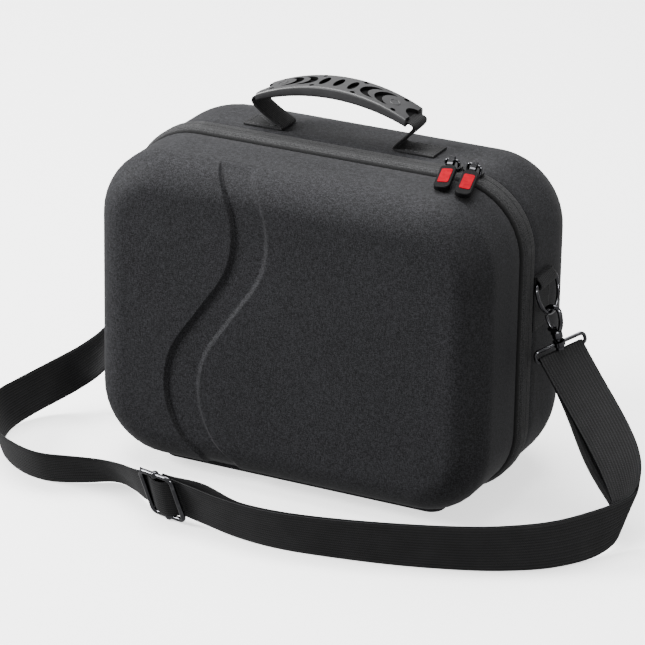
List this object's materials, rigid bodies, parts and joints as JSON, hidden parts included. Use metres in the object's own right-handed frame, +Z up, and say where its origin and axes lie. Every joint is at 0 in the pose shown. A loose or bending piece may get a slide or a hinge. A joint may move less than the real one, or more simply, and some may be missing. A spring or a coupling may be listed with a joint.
{
  "type": "vr headset carrying case",
  "caption": "Moulded clamshell carrying case for a VR headset, with a zip band, top grip, foam bays, lid pocket and a clip-on shoulder strap.",
  "frame": {"origin": "middle of the case on the floor under its feet, hooks included and the loose strap left out", "axes": "+X to the right as seen from the front, +Y to the back (deep shell), +Z up to the handle"},
  "size_m": [0.4482, 0.2571, 0.2577],
  "materials": {
    "shell_fabric": "dark heather woven cover over moulded foam board",
    "band_fabric": "ribbed woven zip tape",
    "zip_coil": "black nylon coil",
    "foam": "closed-cell foam with a short nap",
    "mesh": "open knitted mesh",
    "binding": "elastic woven edging",
    "webbing": "black ribbed webbing",
    "grip_rubber": "satin moulded rubber",
    "gunmetal": "polished black nickel plate",
    "pull_rubber": "satin moulded rubber",
    "pull_inlay": "plain red inlay"
  },
  "bodies": {
    "case": {"back_shell": "shell_fabric", "zipper_tape_back": "band_fabric", "zipper_coil_back": "zip_coil", "hinge_strip": "band_fabric", "foam_insert": "foam", "ring_tab_right": "webbing", "ring_tab_left": "webbing", "handle_webbing": "webbing", "strap_webbing_right": "webbing", "strap_webbing_left": "webbing", "strap_adjuster": "gunmetal", "adjuster_bar": "gunmetal"},
    "lid": {"front_shell": "shell_fabric", "zipper_tape_front": "band_fabric", "zipper_coil_front": "zip_coil", "mesh_pocket": "mesh", "pocket_binding": "binding"},
    "handle": {"handle_grip": "grip_rubber"},
    "ring_right": {"d_ring_right": "gunmetal", "snap_hook_right": "gunmetal", "gate_pin_right": "gunmetal"},
    "loop_right": {"swivel_loop_right": "gunmetal"},
    "gate_right": {"hook_gate_right": "gunmetal"},
    "slider_right": {"zip_slider_right": "gunmetal"},
    "pull_right": {"pull_link_right": "gunmetal", "pull_tab_right": "pull_rubber", "pull_badge_right": "pull_inlay"},
    "ring_left": {"d_ring_left": "gunmetal", "snap_hook_left": "gunmetal", "gate_pin_left": "gunmetal"},
    "loop_left": {"swivel_loop_left": "gunmetal"},
    "gate_left": {"hook_gate_left": "gunmetal"},
    "slider_left": {"zip_slider_left": "gunmetal"},
    "pull_left": {"pull_link_left": "gunmetal", "pull_tab_left": "pull_rubber", "pull_badge_left": "pull_inlay"}
  },
  "joints": [
    {"name": "lid_hinge", "type": "hinge", "parent": "case", "child": "lid", "pos_m": [0, -0.0191, 0.0048], "axis": [1, 0, 0], "range_deg": [0, 150], "deforming": ["hinge_strip", "strap_webbing_right", "strap_webbing_left", "strap_adjuster", "adjuster_bar"]},
    {"name": "handle_lift", "type": "slide", "parent": "case", "child": "handle", "axis": [0, 0, 1], "range_m": [-0.01, 0.008], "deforming": ["handle_webbing"]},
    {"name": "ring_swing_right", "type": "hinge", "parent": "case", "child": "ring_right", "pos_m": [0.1441, 0.0031, 0.15], "axis": [0, -1, 0], "range_deg": [0, 100], "deforming": ["strap_webbing_right"]},
    {"name": "loop_swivel_right", "type": "hinge", "parent": "ring_right", "child": "loop_right", "pos_m": [0.14966, 0.0031, 0.12923], "axis": [-0.2588, 0, 0.9659], "range_deg": [0, 75], "deforming": ["strap_webbing_right"]},
    {"name": "gate_press_right", "type": "hinge", "parent": "ring_right", "child": "gate_right", "pos_m": [0.14932, 0.0031, 0.11758], "axis": [0, 1, 0], "range_deg": [0, 25], "stiffness_Nm_per_rad": 0.02},
    {"name": "ring_swing_left", "type": "hinge", "parent": "case", "child": "ring_left", "pos_m": [-0.1441, 0.0031, 0.15], "axis": [0, 1, 0], "range_deg": [0, 100], "deforming": ["strap_webbing_left"]},
    {"name": "loop_swivel_left", "type": "hinge", "parent": "ring_left", "child": "loop_left", "pos_m": [-0.14966, 0.0031, 0.12923], "axis": [-0.2588, 0, -0.9659], "range_deg": [0, 75], "deforming": ["strap_webbing_left"]},
    {"name": "gate_press_left", "type": "hinge", "parent": "ring_left", "child": "gate_left", "pos_m": [-0.14932, 0.0031, 0.11758], "axis": [0, -1, 0], "range_deg": [0, 25], "stiffness_Nm_per_rad": 0.02},
    {"name": "zip_run_left", "type": "slide", "parent": "case", "child": "slider_left", "axis": [-1, 0, 0], "range_m": [0, 0.17]},
    {"name": "zip_run_right", "type": "hinge", "parent": "case", "child": "slider_right", "pos_m": [0.093, -0.0191, 0.173], "axis": [0, 1, 0], "range_deg": [0, 60]},
    {"name": "pull_flip_left", "type": "hinge", "parent": "slider_left", "child": "pull_left", "pos_m": [0.086, -0.0191, 0.229], "axis": [-1, 0, 0], "range_deg": [0, 150]},
    {"name": "pull_flip_right", "type": "hinge", "parent": "slider_right", "child": "pull_right", "pos_m": [0.10176, -0.0191, 0.22831], "axis": [-0.9877, 0, 0.1564], "range_deg": [0, 150]}
  ]
}
